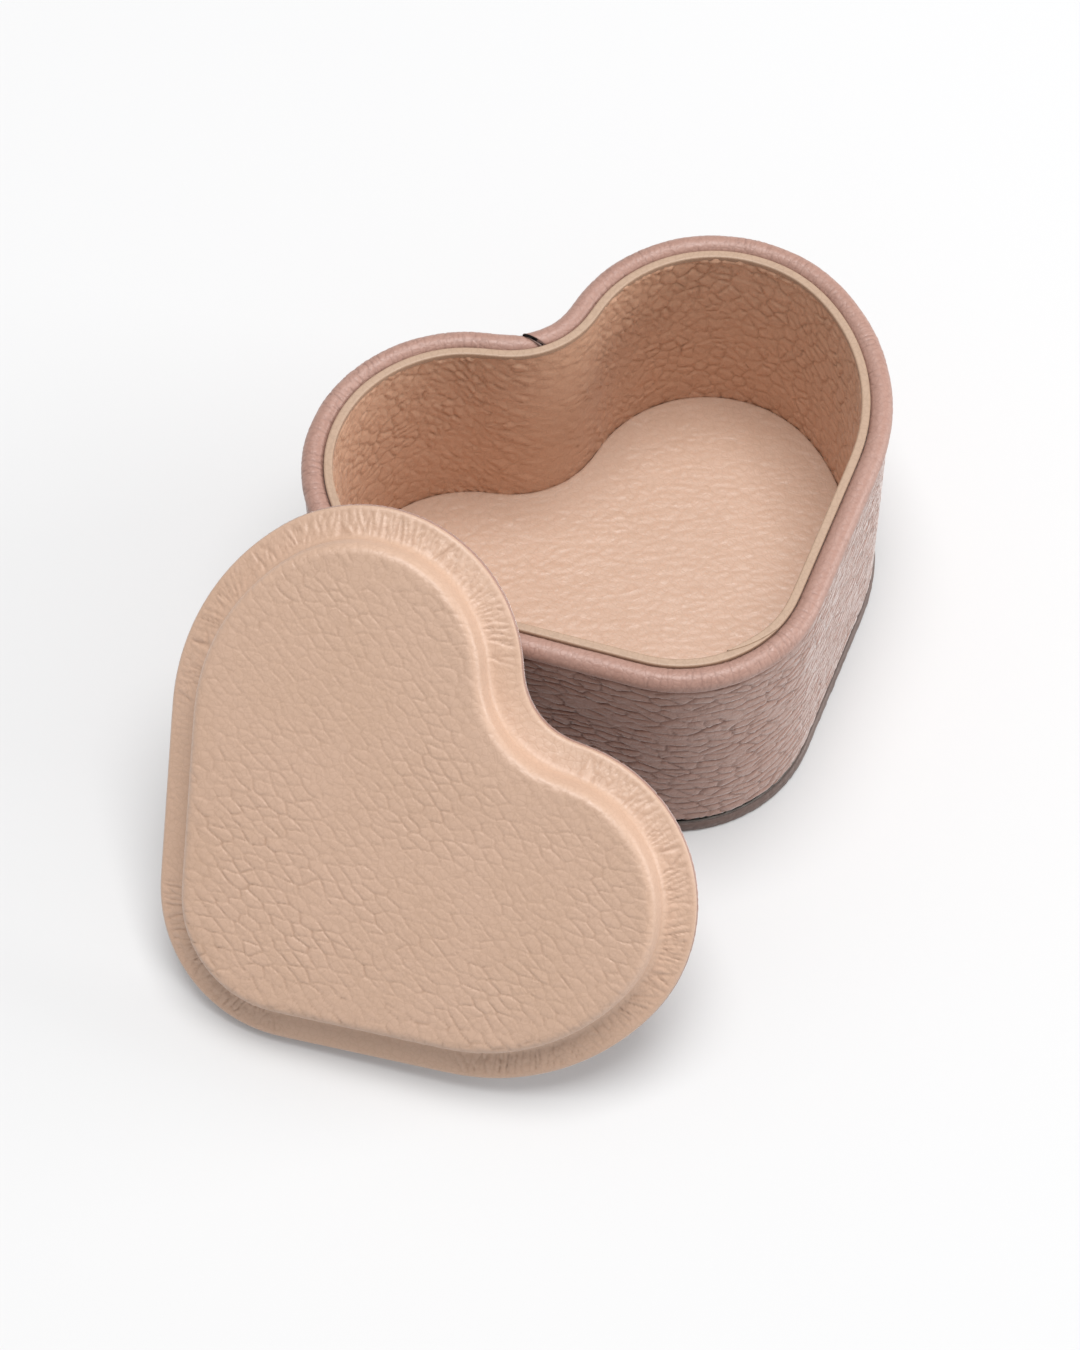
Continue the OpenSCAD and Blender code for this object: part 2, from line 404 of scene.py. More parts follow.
# The cloth simulations run this much larger than life, for this many frames.
SIM_SCALE, SIM_FRAMES = 10, 20


def inflated(g, held, crown, pressure=4.0):
    """The coarse grid after a cloth simulation that puffs it up where held is 0.

    Its swelling is scaled so that its most is crown.
    """
    if crown == 0:
        return g
    n, m = g.shape[:2]
    middle = n * m
    fan = np.arange(n)
    fan = np.column_stack([fan * m + m - 1, (fan + 1) % n * m + m - 1, np.full(n, middle)])
    verts = np.vstack([g.reshape(-1, 3), g[:, -1].mean(0)]) * SIM_SCALE
    ob = mesh_from("sim", verts, grid_faces(n, m, True, False), fan)
    group = ob.vertex_groups.new(name="held")
    for k, w in enumerate(held.ravel()):
        if w > 0:
            group.add([k], float(w), "REPLACE")
    cloth = ob.modifiers.new("cloth", "CLOTH").settings
    cloth.quality = 6
    cloth.mass = 0.4
    cloth.tension_stiffness = cloth.compression_stiffness = 25
    cloth.shear_stiffness = 12
    cloth.bending_stiffness = 3
    cloth.vertex_group_mass = "held"
    cloth.use_pressure = True
    cloth.uniform_pressure_force = pressure
    cloth.effector_weights.gravity = 0
    scene = bpy.context.scene
    for f in range(1, SIM_FRAMES + 1):
        scene.frame_set(f)
    done = ob.evaluated_get(bpy.context.evaluated_depsgraph_get()).data
    co = np.empty(len(done.vertices) * 3)
    done.vertices.foreach_get("co", co)
    moved = co.reshape(-1, 3)[:middle].reshape(g.shape) / MM / SIM_SCALE - g
    scene.frame_set(1)
    bpy.data.objects.remove(ob)
    most = np.abs(moved).max()
    return g + moved * (crown / most if most > 0 else 0)


# Rows of an even triangular net are this share of its spacing apart.
NET_ROW = 0.866
# What a Panel's run grows by from the border's last ring to the middle, in mm.
MIDDLE_RUN = 40


class Panel:
    """A fine surface with a swept border and an even net of points across its flat middle.

    prof is the border's profile, from its outer end to the edge of the flat middle, and crown
    is how far the middle is puffed up. step is the border's spacing round the outline and
    along the profile, and net that of the middle's points. The simulation's grid has around
    points on each ring and the given number of rings. The first held_rows of the profile are
    pinned in it, and way is -1 for a panel that swells downwards.

    Each point has s, its place round the outline, run, its distance in along the leather from
    the profile's start, and flat, where it lies with the leather unrolled on to the middle's
    plane.
    """

    def __init__(self, prof, crown, step, net, rings=22, around=160, held_rows=None, way=1):
        rows = len(prof)
        s = np.arange(around) * L / around
        grid = filled(swept(s, prof), rings)
        held = np.zeros(grid.shape[:2])
        held[:, : rows if held_rows is None else held_rows] = 1
        grid = inflated(grid * [1, 1, way], held, crown) * [1, 1, way]
        grid = np.concatenate([grid, np.broadcast_to(grid[:, -1:].mean(0), grid[:, :1].shape)], 1)
        lengths = np.append(0, np.cumsum(np.hypot(*np.diff(prof, axis=0).T)))
        n, m = round(L / step[0]), round(lengths[-1] / step[1]) + 1
        i, j = np.meshgrid(np.arange(n) * around / n, np.linspace(0, rows - 1, m), indexing="ij")
        border = sample(grid, i, j).reshape(-1, 3)
        # The net: a triangular lattice inside the border's last ring.
        ring = sample(grid, i[:, -1], j[:, -1])[:, :2]
        spoke = ring - CENTRE
        angle = np.unwrap(np.arctan2(spoke[:, 1], spoke[:, 0]))
        low, high = ring.min(0), ring.max(0)
        x, y = np.meshgrid(
            np.arange(low[0], high[0], net), np.arange(low[1], high[1], net * NET_ROW)
        )
        x = x + (np.arange(len(x)) % 2)[:, None] * net / 2
        dots = np.column_stack([x.ravel(), y.ravel()])
        arm = dots - CENTRE
        turn = np.mod(np.arctan2(arm[:, 1], arm[:, 0]) - angle[0], 2 * math.pi)
        turn = turn + angle[0]
        loop = np.append(angle, angle[0] + 2 * math.pi)
        place = np.interp(turn, loop, np.append(i[:, -1], around))
        reach = np.interp(turn, loop, np.append(np.hypot(*spoke.T), math.hypot(*spoke[0])))
        share = 1 - np.hypot(*arm.T) / reach
        # Dots too close to the border's last ring would make slivers.
        inside = share * reach > 0.9 * net
        dots, place, share = dots[inside], place[inside], share[inside]
        depth = rows - 1 + share * (rings + 1)
        inner = sample(grid, place, depth)
        found = delaunay_2d_cdt(
            [tuple(q) for q in np.vstack([ring, dots])], [(k, (k + 1) % n) for k in range(n)],
            [], 1, 1e-6,
        )
        faces = np.array(found[2])
        index = np.concatenate([np.arange(n) * m + m - 1, n * m + np.arange(len(dots))])
        self.verts = np.vstack([border, inner])
        self.quads = grid_faces(n, m, True, False)
        self.tris = index[faces]
        s_in = place * L / around
        run = np.interp(j, np.arange(rows), lengths)
        self.s = np.concatenate([(i * L / around).ravel(), s_in])
        self.run = np.concatenate([run.ravel(), lengths[-1] + share * MIDDLE_RUN])
        unrolled = HEART.at(i * L / around, prof[-1, 0] + lengths[-1] - run)
        self.flat = np.vstack([unrolled.reshape(-1, 2), dots])

    def build(self, name, height, grain, flip=False, place=None):
        """The panel's mesh object, raised by height."""
        quads, tris = self.quads, self.tris
        if flip:
            quads, tris = quads[:, ::-1], tris[:, ::-1]
        return mesh_from(name, self.verts, quads, tris, height, grain, place)


# ---------------------------------------------------------------- materials
# Near-black painted shade for the gaps of the butt seams, where the leather's cut ends meet;
# a grain value of 2 or more stands for it.
SEAM_SHADE = (0.035, 0.02, 0.016)


def leather(name, skin, deep, light, rough=0.46, pore=0.5, sheen=0.12, mottle=0.5, crease_shade=0.45,
            gloss=0.55):
    """Grained leather: skin is its colour, deep its creases' painted shade, light a lighter tone
    for its clouds and flecks and the painted highlight on its tops.

    rough, gloss and sheen set its shine, pore the finest relief, mottle how far its clouds
    lighten it and crease_shade how far painted shade darkens its creases.
    """
    m = bpy.data.materials.new(name)
    m.use_nodes = True
    nt = m.node_tree
    bsdf = nt.nodes["Principled BSDF"]
    bsdf.inputs["Specular IOR Level"].default_value = gloss
    bsdf.inputs["Sheen Weight"].default_value = sheen
    bsdf.inputs["Sheen Roughness"].default_value = 0.3

    def node(kind, **values):
        """A new node with these properties and socket values set."""
        n = nt.nodes.new(kind)
        for key, value in values.items():
            if hasattr(n, key):
                setattr(n, key, value)
            else:
                n.inputs[key.replace("_", " ")].default_value = value
        return n

    def blend(factor, a, b, kind="MIX"):
        """Colour a with as much of b as factor says; each is a socket or a value."""
        n = node("ShaderNodeMix", data_type="RGBA", blend_type=kind)
        for socket, value in zip((0, 6, 7), (factor, a, b)):
            if hasattr(value, "is_linked"):
                nt.links.new(value, n.inputs[socket])
            else:
                n.inputs[socket].default_value = value
        return n.outputs[2]

    def spread(value, low, high, to_low=0.0, to_high=1.0):
        """The value with its range from low to high stretched to another range, and clamped."""
        n = node("ShaderNodeMapRange", From_Min=low, From_Max=high, To_Min=to_low, To_Max=to_high)
        nt.links.new(value, n.inputs["Value"])
        return n.outputs[0]

    where = node("ShaderNodeTexCoord").outputs["Object"]

    def texture(kind, out, **values):
        """One output of a texture laid through the object."""
        n = node(kind, **values)
        nt.links.new(where, n.inputs["Vector"])
        return n.outputs[out]

    grain = node("ShaderNodeAttribute", attribute_name="grain").outputs["Fac"]
    clouds = texture("ShaderNodeTexNoise", "Fac", Scale=55.0, Detail=3.0, Roughness=0.55)
    flecks = texture("ShaderNodeTexNoise", "Fac", Scale=900.0, Detail=2.0, Roughness=0.6)
    pores = texture("ShaderNodeTexVoronoi", "Distance", Scale=1500.0, Randomness=0.95)
    cells = texture(
        "ShaderNodeTexVoronoi", "Distance", Scale=820.0, feature="DISTANCE_TO_EDGE"
    )
    # Colour: clouds of the lighter and deeper tone, then flecks, then painted shade at the small
    # cells' edges and in the creases, a painted highlight on the cells' tops, and the seams'
    # near-black painted shade.
    colour = blend(spread(clouds, 0.35, 0.68, 0, mottle), (*skin, 1), (*light, 1))
    colour = blend(spread(flecks, 0.42, 0.66, 0, 0.32), colour, (*light, 1))
    colour = blend(spread(cells, 0.0, 0.12, 0.16, 0.0), colour, (*deep, 1))
    colour = blend(spread(grain, 0.0, -1.0, 0, 0.6), colour, (*light, 1))
    colour = blend(spread(grain, 0.08, 1.0, 0, crease_shade), colour, (*deep, 1))
    colour = blend(spread(grain, 1.2, 2.0), colour, (*SEAM_SHADE, 1))
    nt.links.new(colour, bsdf.inputs["Base Color"])
    # Roughness: creases are duller, high spots a little polished.
    dull = node("ShaderNodeMath", operation="MULTIPLY_ADD")
    nt.links.new(grain, dull.inputs[0])
    dull.inputs[1].default_value = 0.16
    nt.links.new(spread(flecks, 0.3, 0.7, rough - 0.06, rough + 0.07), dull.inputs[2])
    nt.links.new(dull.outputs[0], bsdf.inputs["Roughness"])
    # Relief finer than the mesh: small cells, pores and flecks.
    relief = node("ShaderNodeMath", operation="MULTIPLY_ADD")
    nt.links.new(spread(cells, 0.0, 0.16), relief.inputs[0])
    relief.inputs[1].default_value = 0.8
    nt.links.new(spread(pores, 0.0, 0.45, 0, 0.7), relief.inputs[2])
    fleck_relief = node("ShaderNodeMath", operation="MULTIPLY_ADD")
    nt.links.new(flecks, fleck_relief.inputs[0])
    fleck_relief.inputs[1].default_value = 0.9
    nt.links.new(relief.outputs[0], fleck_relief.inputs[2])
    bump = node("ShaderNodeBump", Strength=pore, Distance=0.00006)
    nt.links.new(fleck_relief.outputs[0], bump.inputs["Height"])
    nt.links.new(bump.outputs[0], bsdf.inputs["Normal"])
    return m


def board(name, colour, speck, scale=700.0):
    """Fibrous board or card for the pieces inside."""
    m = bpy.data.materials.new(name)
    m.use_nodes = True
    nt = m.node_tree
    bsdf = nt.nodes["Principled BSDF"]
    bsdf.inputs["Roughness"].default_value = 0.9
    where = nt.nodes.new("ShaderNodeTexCoord")
    fibre = nt.nodes.new("ShaderNodeTexNoise")
    fibre.inputs["Scale"].default_value = scale
    fibre.inputs["Detail"].default_value = 5
    ramp = nt.nodes.new("ShaderNodeValToRGB")
    ramp.color_ramp.elements[0].position, ramp.color_ramp.elements[1].position = 0.38, 0.64
    ramp.color_ramp.elements[0].color = (*speck, 1)
    ramp.color_ramp.elements[1].color = (*colour, 1)
    bump = nt.nodes.new("ShaderNodeBump")
    bump.inputs["Strength"].default_value = 0.4
    bump.inputs["Distance"].default_value = 0.0001
    nt.links.new(where.outputs["Object"], fibre.inputs["Vector"])
    nt.links.new(fibre.outputs["Fac"], ramp.inputs["Fac"])
    nt.links.new(ramp.outputs["Color"], bsdf.inputs["Base Color"])
    nt.links.new(fibre.outputs["Fac"], bump.inputs["Height"])
    nt.links.new(bump.outputs[0], bsdf.inputs["Normal"])
    return m


ROSE = leather("rose_leather", (0.355, 0.2, 0.155), (0.15, 0.075, 0.055), (0.41, 0.255, 0.21),
    sheen=0.85, crease_shade=0.6, gloss=0.6)
ROSE_RIM = leather("rose_rim_leather", (0.385, 0.22, 0.175), (0.17, 0.09, 0.07),
    (0.44, 0.27, 0.22), rough=0.42, crease_shade=0.5)
# The rose leather in a darker copy for the base plate: painted shade, as the plate lies under the
# wall's overhang at the table.
ROSE_BASE_SHADED = leather("rose_leather_painted_shade", (0.125, 0.083, 0.07), (0.09, 0.055, 0.045),
    (0.19, 0.13, 0.11))
NUDE = leather("nude_leather", (0.63, 0.385, 0.255), (0.4, 0.21, 0.125), (0.68, 0.43, 0.3),
    pore=0.4, crease_shade=0.42)
# The nude leather in a copy whose tone is retuned for the floor: painted light from how the floor is
# lit.
NUDE_FLOOR_LIT = leather("nude_leather_floor_painted_light", (0.58, 0.405, 0.3), (0.48, 0.3, 0.21),
    (0.635, 0.46, 0.355), pore=0.35, rough=0.4, crease_shade=0.12, gloss=0.65)
# The nude leather in a copy whose tone is retuned for the lid: painted light from how the lid is
# lit.
NUDE_LID_LIT = leather("nude_leather_lid_painted_light", (0.565, 0.378, 0.27), (0.36, 0.215, 0.14),
    (0.6, 0.405, 0.3), pore=0.3, gloss=0.65, sheen=0.25)
EDGE_PAINT = leather("edge_paint", (0.44, 0.3, 0.21), (0.16, 0.09, 0.06), (0.48, 0.335, 0.24),
    pore=0.12, mottle=0.2)
GREY_BOARD = board("grey_board", (0.42, 0.4, 0.37), (0.28, 0.26, 0.24))
# Near-black card: painted shadow for the rim's filler, seen in the seam's gap, and for the base's
# spacer, seen in the gap over the base plate.
SHADOW_CARD = board("painted_shadow_card", (0.014, 0.01, 0.009), (0.008, 0.006, 0.005))


def finish_piece(ob, body, material, slot, *nodes):
    """Gives a piece its material and body, and hides the CAD nodes that it stands for. slot is not
    used.
    """
    ob.data.materials.append(material)
    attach(ob, body)
    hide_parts(*nodes)
    return ob


# ---------------------------------------------------------------- the box
L = HEART.length
# Half the gap of the butt seams, and how far the closest points lie from such a cut end.
SEAM = 0.2
NEAR_SEAM = np.array([0, 0.05, 0.12, 0.2, 0.3, 0.42, 0.57, 0.76, 1.0])
# Where the rim's seam sits along the outline, and how far its slant carries it each way.
RIM_SEAM_AT, RIM_SEAM_SLANT = 2.2, 1.6


def along(count):
    """Arc lengths from one side of the cleft's seam to the other, closer together at the seam."""
    start, end = SEAM + NEAR_SEAM, L - SEAM - NEAR_SEAM[::-1]
    return np.concatenate([start, np.linspace(start[-1], end[0], count)[1:-1], end])


def bent(s):
    """1 where the outline bends outwards tightly, as round the lobes and the tip, else 0."""
    return ease(HEART.bend_at(s), 0.012, 0.026)


def from_cleft(s):
    """Distance along the outline to the cleft, the shorter way."""
    return np.minimum(np.mod(s, L), L - np.mod(s, L))


def with_seam_shade(grain, end):
    """The grain values, raised where end, the distance to a cut end, is small, so that the seam gets
    its near-black painted shade.
    """
    return np.maximum(grain, 2.5 * np.exp(-((end / 0.3) ** 2)))


def make_rim():
    """The rolled rim, butted at the cleft on a slant: one end tucks in a little deeper."""
    r, section = RIM_D / 2, 42
    turn = np.arange(section) * 2 * math.pi / section
    s2, a2 = np.meshgrid(along(1120), turn, indexing="ij")
    end, across, around = from_cleft(s2), np.cos(a2), a2 * r
    # The left end tucks in deeper than the right one, and over a longer stretch.
    low, reach = np.where(s2 < L / 2, 0.4, 0.12), np.where(s2 < L / 2, 1.1, 0.3)
    tucked = low * np.exp(-((end / reach) ** 2))
    s2 = s2 + RIM_SEAM_AT + RIM_SEAM_SLANT * across * np.exp(-((end / 6) ** 2))
    p = np.stack([s2, around], -1)
    folds = 0.3 + 0.7 * bent(s2) * (1 - 0.55 * (np.abs(s2 - L / 2) < L / 5))
    folds = folds * (0.7 + 0.5 * noise(p, 9, 35))
    # Folds across the roll, then the leather's own small grain.
    h, crease = pebbled(p, (1.1, 4.2), 31, crease=0.08, width=0.17, swell=0.03, lean=0.03,
        wander=0.5, shear=0.4, broken=1.0)
    h2, crease2 = pebbled(p, (1.5, 1.3), 33, crease=0.04, width=0.16, swell=0.03, lean=0.03)
    h = folds * h + h2 + 0.05 * noise(p * [1, 0.4], 5, 37) - tucked
    xy = HEART.at(s2, r * (across - 1))
    g = np.concatenate([xy, (RIM_TOP - r + r * np.sin(a2))[..., None]], -1)
    # The cut ends at the seam get near-black painted shade.
    grain = with_seam_shade(crease * folds + 0.4 * crease2, end)
    ob = tube("rim_roll", g, h, grain, round_u=False)
    return finish_piece(ob, "box", ROSE_RIM, "rim_leather", "rim_leather")


def make_wall():
    """The outer leather, its grain drawn out round the box, butted at the cleft."""
    top = RIM_TOP - RIM_D + 0.3
    o = -WALL_INSET
    shown = profile([(o - 1.6, WALL_Z0 + 0.02), (o, WALL_Z0 + 0.02), (o, top), (o - 1.3, top)],
        (0.6, 0.5), 0.27)
    back = profile([(o - 1.3, top), (o - LEATHER_T - 0.7, WALL_Z0 + 0.02)], (), 12)[1:-1]
    prof = np.vstack([shown, back])
    s = along(760)
    g = swept(s, prof)
    s2, z2 = np.meshgrid(s, prof[:, 1], indexing="ij")
    end = from_cleft(s2)
    face = np.zeros(len(prof))
    face[: len(shown)] = ease(np.arange(len(shown)), 2, 6)
    sag = 0.5 * noise(np.stack([s2, z2 * 0.3], -1), 16, 41)
    p = np.stack([z2 + sag, s2], -1)
    h, crease = pebbled(p, (2.0, 4.2), 43, crease=0.32, width=0.2, swell=0.12, lean=0.05,
        wander=0.22, shear=0.45, cross=0.75)
    h2, crease2 = pebbled(p, (1.3, 2.8), 47, crease=0.06, width=0.2, swell=0.03, lean=0.02,
        cross=0.5)
    # The cut ends are rounded down into the seam.
    h = (h + h2) * face - 0.3 * np.exp(-((end / 0.14) ** 2)) * face
    # The cut ends also get the seam's near-black painted shade.
    grain = with_seam_shade((crease + 0.3 * crease2) * face, end)
    ob = tube("wall_cover", g, h, grain, round_u=False)
    return finish_piece(ob, "box", ROSE, "outer_leather", "wall_leather")


def make_lining():
    """The nude leather round the inside: deep cells in the lobes, smoother at the cleft."""
    o, bottom, top = ROOM_O, FLOOR_Z0 + 0.1, LINING_Z1 - 0.35
    shown = profile([(o, bottom), (o, top)], (), 0.38)
    prof = np.vstack([shown, [(o + 1.3, top), (o + 1.3, bottom)]])
    s = np.arange(820) * L / 820
    g = swept(s, prof)
    s2, z2 = np.meshgrid(s, prof[:, 1], indexing="ij")
    lobes = ease(from_cleft(s2), 8, 34) * ease(np.abs(s2 - L / 2), 25, 60)
    deep = (0.8 + 0.2 * lobes) * (0.7 + 0.3 * ease(z2, FLOOR_Z1 + 4, top - 8))
    deep = deep * (0.5 + 0.5 * ease(from_cleft(s2), 1, 7))
    below = top - z2
    p = np.stack([s2, z2], -1)
    h, crease = pebbled(turned(p, 12), (3.4, 2.8), 53, crease=0.25, width=0.24, swell=0.22,
        lean=0.14, jitter=(0.9, 0.9), cross=0.9)
    h2, crease2 = pebbled(turned(p, -38), (1.8, 3.2), 55, crease=0.22, width=0.26, swell=0.36,
        lean=0.36)
    face = np.zeros(len(prof))
    face[: len(shown)] = 1 - ease(np.arange(len(shown)), len(shown) - 3, len(shown) - 1)
    mix = ease(lobes + 0.35 * noise(p, 11, 56), 0.1, 0.9)
    # Wrinkles that run along under the edge, where the leather turns over the lobes.
    wrinkle = np.exp(-(((below - 1.3 - 0.5 * noise(p, 9, 58)) / 0.28) ** 2)) * bent(s2)
    wrinkle = wrinkle * ease(noise(p, 5, 59), -0.5, 0.2)
    h = (h * mix * deep + h2 * (1 - 0.7 * mix) * deep + 0.34 * wrinkle) * face
    grain = (0.8 * crease * mix + 0.6 * crease2 * (1 - 0.7 * mix)) * deep * face
    ob = tube("inside_lining", g, h, grain, flip=True)
    return finish_piece(ob, "box", NUDE, "lining_leather", "lining_leather")


# Where the strip's inner end starts along the outline, and how far its ends overlap.
SCARF_S, SCARF_L = 0.4956 * L, 12.2


def make_lining_edge():
    """The painted top edge of the lining, a strip whose ends meet in a long scarf joint."""
    out, inn, top = -RIM_D + 0.12, ROOM_O - GLUE_GAP, LINING_Z1 + GLUE_GAP
    s = np.linspace(0, L + SCARF_L, 1150)
    wide = out - inn
    prof = profile([(0.1, -1.1), (0, -1.1), (0, 0), (wide, 0), (wide, -1.1), (0.1, -1.1)],
        (0.05, 0.32, 0.32, 0.05), 0.13)[:-1]
    s2, w2 = np.meshgrid(s, prof[:, 0] / wide, indexing="ij")
    z2 = np.broadcast_to(prof[:, 1], s2.shape)
    # Each end narrows to nothing, the first at the room's side and the last at the rim's side.
    line = 0.05
    outer = np.where(s2 < SCARF_L, inn + line + (wide - line) * s2 / SCARF_L, out)
    inner = np.where(s2 > L, inn + wide * (s2 - L) / SCARF_L, inn)
    inner = inner - 0.3 * np.exp(-(((s2 - SCARF_L * 0.4) / (SCARF_L * 0.5)) ** 2))
    wave = noise(np.stack([s2, z2], -1), 7, 61) * 0.03
    xy = HEART.at(s2 + SCARF_S, inner + (outer - inner) * w2 + wave)
    g = np.concatenate([xy, (top + z2 + wave)[..., None]], -1)
    ends = np.minimum(s2, L + SCARF_L - s2)
    # The strip's two ends are darkened towards its crease colour: painted shade at the scarf's
    # steps.
    grain = np.exp(-((ends / 0.3) ** 2))
    ob = tube("lining_edge", g, g[..., 0] * 0, grain, round_u=False, flip=True)
    return finish_piece(ob, "box", EDGE_PAINT, "lining_leather", "lining_card")


def make_floor():
    """The padded floor panel, puffed by a cloth simulation."""
    o, top = ROOM_O, FLOOR_Z1
    prof = profile(
        [(o - 0.9, FLOOR_Z0 + 0.1), (o, FLOOR_Z0 + 0.1), (o, top), (o - 5, top)],
        (0.3, 0.2), 0.4)
    panel = Panel(prof, crown=0.5, step=(0.45, 0.36), net=0.36, held_rows=len(prof) - 5)
    p = turned(panel.flat, -22)
    inside = ease(panel.run, 1.6, 3.6)
    h, crease = pebbled(p, (3.8, 2.1), 71, crease=0.0, width=0.5, swell=0.1, lean=0.055,
        jitter=(0.9, 0.8), cross=0.9, broken=0.9)
    h2, crease2 = pebbled(p, (1.8, 1.2), 73, crease=0.0, width=0.3, swell=0.055, lean=0.045)
    h = h + 0.03 * noise(p * [0.6, 1], 2.2, 75)
    grain = (0.7 * crease + 0.3 * crease2) * inside
    ob = panel.build("floor_pad", (h + h2) * inside, grain)
    finish_piece(ob, "box", NUDE_FLOOR_LIT, "lining_leather", "floor_leather", "floor_padding")
    return ob


def make_base():
    """The leather-covered base plate, seen from below too."""
    o = BASE_O
    prof = profile([(o - 4, BASE_TOP), (o, BASE_TOP), (o, 0), (o - 4, 0)], (0.8, 0.5), 0.3)
    panel = Panel(prof, crown=0, step=(0.6, 0.3), net=0.5)
    h, crease = pebbled(panel.flat, (2.8, 2.1), 81, crease=0.12, width=0.3, swell=0.05, lean=0.03)
    # The relief only goes inwards from the plate's faces, so that the plate stays flat to stand on.
    h = np.minimum(h - 0.12, 0)
    shown = ease(panel.run, 3, 4)
    ob = panel.build("base_cover", h * shown, 0.8 * crease * shown, flip=True)
    # The base plate's darker copy of the rose leather is painted shade.
    return finish_piece(ob, "box", ROSE_BASE_SHADED, "outer_leather", "base_leather")


# ---------------------------------------------------------------- the lid
def lid_turn():
    """The lid's turn from its own frame, where +Z is out of its underside."""
    t, a, s = (math.radians(v) for v in (LID_TILT, LID_AZ, LID_SPIN))
    rz = lambda v: np.array(
        [[math.cos(v), -math.sin(v), 0], [math.sin(v), math.cos(v), 0], [0, 0, 1]]
    )
    ry = np.array([[math.cos(t), 0, math.sin(t)], [0, 1, 0], [-math.sin(t), 0, math.cos(t)]])
    return rz(a) @ ry @ rz(s)


LID_TURN = lid_turn()


def lid_origin():
    """Where the lid's own frame sits, found by laying its board into the CAD board's box."""
    count = 2000
    ring = HEART.at(np.linspace(0, L, count), np.full(count, -LID_INSET - LID_BOARD_INSET))
    low, high = -LEATHER_T - LID_BOARD_T, -LEATHER_T - GLUE_GAP
    pts = np.vstack([np.column_stack([ring, np.full(count, z)]) for z in (low, high)])
    turned_pts = pts @ LID_TURN.T
    box = cad_mm("lid_board")
    return ((box[0] - turned_pts.min(0)) + (box[1] - turned_pts.max(0))) / 2


LID_AT = lid_origin()


def on_lid(g):
    """Points of the lid's own frame, moved to where the lid leans."""
    return g @ LID_TURN.T + LID_AT


def make_lid_cover():
    """The rose leather over the padded outer face, wrapped round the edge."""
    o, low, lip = -LID_INSET, -LID_T, -LEATHER_T - GLUE_GAP
    prof = profile([(o - 1.4, lip), (o - 0.1, lip), (o, low), (o - 8, low)], (0.4, LID_EDGE_R), 0.55)
    panel = Panel(prof, crown=0.45, step=(0.42, 0.36), net=0.4, held_rows=len(prof) - 6, way=-1)
    s, run = panel.s, panel.run
    top = ease(run, 6.5, 9.5)
    edge = ease(run, 1.2, 2.2) * (1 - top)
    h, crease = pebbled(turned(panel.flat, 20), (2.6, 3.9), 91, crease=0.16, width=0.26, swell=0.1,
        lean=0.06)
    h2, crease2 = pebbled(np.stack([s, run], -1), (1.5, 4.5), 97, crease=0.12, width=0.2, swell=0.06)
    folds = 0.25 + 0.75 * bent(s)
    grain = crease * top + 0.7 * crease2 * edge * folds
    ob = panel.build("lid_cover", h * top + h2 * edge * folds, grain, flip=True, place=on_lid)
    finish_piece(ob, "lid", ROSE, "outer_leather", "lid_top_leather", "lid_padding")
    return ob


# The long creases of the lid's lining run along the lid's own x axis, near enough, and the
# ones between them cross at a slant.
GRAIN_TURN, GRAIN_SHEAR = -94.0, 0.84


def make_lid_lining():
    """The nude leather drawn over the plug and the flange, pleated round the lobes and the tip."""
    o, top, lip = -LID_INSET, PLUG_H, -LEATHER_T
    # Up over the edge, a ramp up to the plug's foot, the plug's steep side and its top.
    prof = profile(
        [(o - 1.5, lip), (o + 0.1, lip), (o - 0.4, -0.25), (o - 5.7, 1.5), (PLUG_O - 0.6, top),
         (PLUG_O - 6, top)],
        (0.25, 0.7, 1.6, 1.9), 0.5)
    panel = Panel(prof, crown=0.35, step=(0.3, 0.38), net=0.27, held_rows=len(prof) - 9)
    s, run = panel.s, panel.run
    # Distances in from the profile's start to the flange's edge, the plug's foot and its top.
    edge_at, foot_at = 1.8, 7.4
    top_at = np.hypot(*np.diff(prof, axis=0).T).sum() - 5.6
    on_flange = ease(run, edge_at + 0.2, edge_at + 1.3)
    on_flange = on_flange * (1 - ease(run, foot_at - 1.4, foot_at + 0.4))
    on_top = ease(run, top_at - 1.6, top_at + 1.4)
    gather = 0.28 + 0.72 * bent(s)
    q = run - edge_at
    lean = 0.5 * noise(np.stack([s, q * 0], -1), 5, 104) * q
    h, crease = pebbled(np.stack([s + lean, q], -1), (1.3, 4.6), 101, crease=0.26, width=0.16,
        swell=0.1, lean=0.1, fine=0.8, jitter=(0.95, 0.9), wander=0.42)
    fine_h, fine_crease = pebbled(np.stack([s, q], -1), (1.3, 1.7), 103, crease=0.09, width=0.2,
        swell=0.05, lean=0.04)
    p = turned(panel.flat, GRAIN_TURN)
    flat_h, flat_crease = pebbled(p, (2.3, 3.3), 107, crease=0.16, width=0.15, swell=0.06,
        lean=0.045, fine=0.5, jitter=(0.3, 0.8), wander=0.15, shear=GRAIN_SHEAR, cross=0.85,
        broken=0.4)
    tiny_h = pebbled(p, (1.1, 1.5), 109, crease=0.04, width=0.16, swell=0.012,
        lean=0.014, shear=GRAIN_SHEAR)[0]
    fade = 1.25 - 0.5 * ease(on_lid(panel.verts)[:, 2], 12, 55) + 0.3 * noise(p, 17, 111)
    height = (flat_h * fade + tiny_h) * on_top + (h * gather + fine_h * 0.6) * on_flange
    pleats = 0.7 * crease * gather + 0.2 * fine_crease
    grain = 0.65 * flat_crease * fade * on_top + pleats * on_flange
    ob = panel.build("lid_lining", height, grain, place=on_lid)
    finish_piece(ob, "lid", NUDE_LID_LIT, "lining_leather", "lid_lining_leather", "plug_padding")
    return ob


for make in (make_rim, make_wall, make_lining, make_lining_edge, make_floor, make_base,
             make_lid_cover, make_lid_lining):
    make()

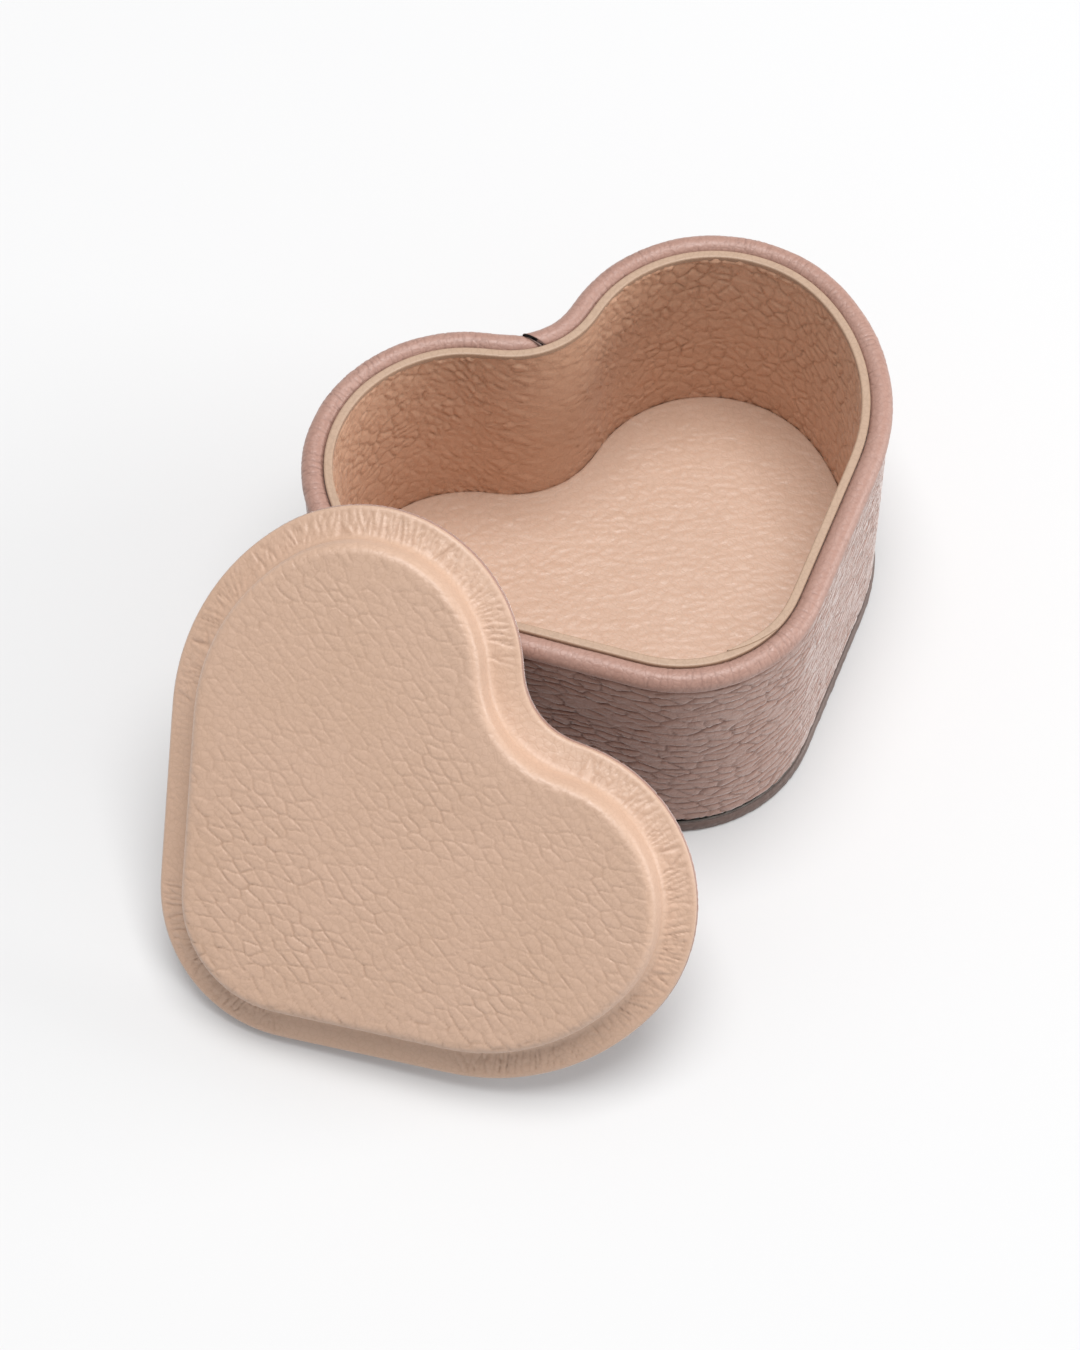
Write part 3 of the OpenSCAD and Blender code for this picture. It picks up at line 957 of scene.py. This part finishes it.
# The boards hidden inside stay grey; the rim's filler and the base's spacer, seen only in shaded
# gaps, get the near-black card as painted shadow.
for name, material in (
    ("wall_board", GREY_BOARD), ("floor_board", GREY_BOARD), ("base_board", GREY_BOARD),
    ("lid_board", GREY_BOARD), ("plug_board", GREY_BOARD), ("rim_filler", SHADOW_CARD),
    ("base_spacer", SHADOW_CARD),
):
    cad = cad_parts[name]
    cad.data.materials.clear()
    cad.data.materials.append(material)


# ---------------------------------------------------------------- floor, light and camera
# The table's paint, and how far it glows, so that it stays near white in the soft shadows.
TABLE_COLOUR, TABLE_GLOW = (0.62, 0.625, 0.63), 0.12
TABLE_SIZE = 8
# Light from all round, and the key light's slightly warm white.
SKY = 0.44
WARM_WHITE = (1.0, 0.99, 0.985)


def table_top():
    """A plain matt table under the box."""
    bpy.ops.mesh.primitive_plane_add(size=TABLE_SIZE, location=(0, 0, 0))
    ob = bpy.context.object
    ob.name = "table"
    m = bpy.data.materials.new("table_white")
    m.use_nodes = True
    bsdf = m.node_tree.nodes["Principled BSDF"]
    bsdf.inputs["Base Color"].default_value = (*TABLE_COLOUR, 1)
    bsdf.inputs["Emission Color"].default_value = (1, 1, 1, 1)
    bsdf.inputs["Emission Strength"].default_value = TABLE_GLOW
    bsdf.inputs["Roughness"].default_value = 0.9
    bsdf.inputs["Specular IOR Level"].default_value = 0.1
    ob.data.materials.append(m)


table_top()

# The camera's place and the point it looks at in metres, and its lens and sensor in mm.
CAMERA_AT = Vector((-0.2117, -0.4139, 0.7173))
CAMERA_AIM = Vector((-0.0256, -0.0294, 0.025))
LENS, SENSOR = 119.9, 36

cam = bpy.data.cameras.new("camera")
cam.lens = LENS
cam.sensor_width = SENSOR
camera = bpy.data.objects.new("camera", cam)
camera.location = CAMERA_AT
camera.rotation_euler = (CAMERA_AIM - CAMERA_AT).to_track_quat("-Z", "Y").to_euler()
cam.clip_start = 0.01
bpy.context.collection.objects.link(camera)
bpy.context.scene.camera = camera

# Directions as the camera sees them on the table: to the right, and away.
away = (CAMERA_AIM - CAMERA_AT) * Vector((1, 1, 0))
away.normalize()
right = Vector((away.y, -away.x, 0))


def soft_light(name, across, deep, up, size, power, colour=(1, 1, 1)):
    """A square area light aimed at the object from that many metres right, away and up."""
    light = bpy.data.lights.new(name, "AREA")
    light.shape, light.size, light.energy, light.color = "SQUARE", size, power, colour
    ob = bpy.data.objects.new(name, light)
    ob.location = right * across + away * deep + Vector((0, 0, up))
    ob.rotation_euler = (-ob.location).to_track_quat("-Z", "Y").to_euler()
    bpy.context.collection.objects.link(ob)


soft_light("key", across=0.14, deep=0.05, up=2.0, size=1.2, power=37.0, colour=WARM_WHITE)
soft_light("side", across=1.7, deep=0.1, up=0.5, size=0.8, power=14.0)

world = bpy.data.worlds.new("studio")
bpy.context.scene.world = world
world.use_nodes = True
world.node_tree.nodes["Background"].inputs["Color"].default_value = (1, 1, 1, 1)
world.node_tree.nodes["Background"].inputs["Strength"].default_value = SKY
bpy.context.scene.view_settings.view_transform = "Standard"

bpy.context.view_layer.update()
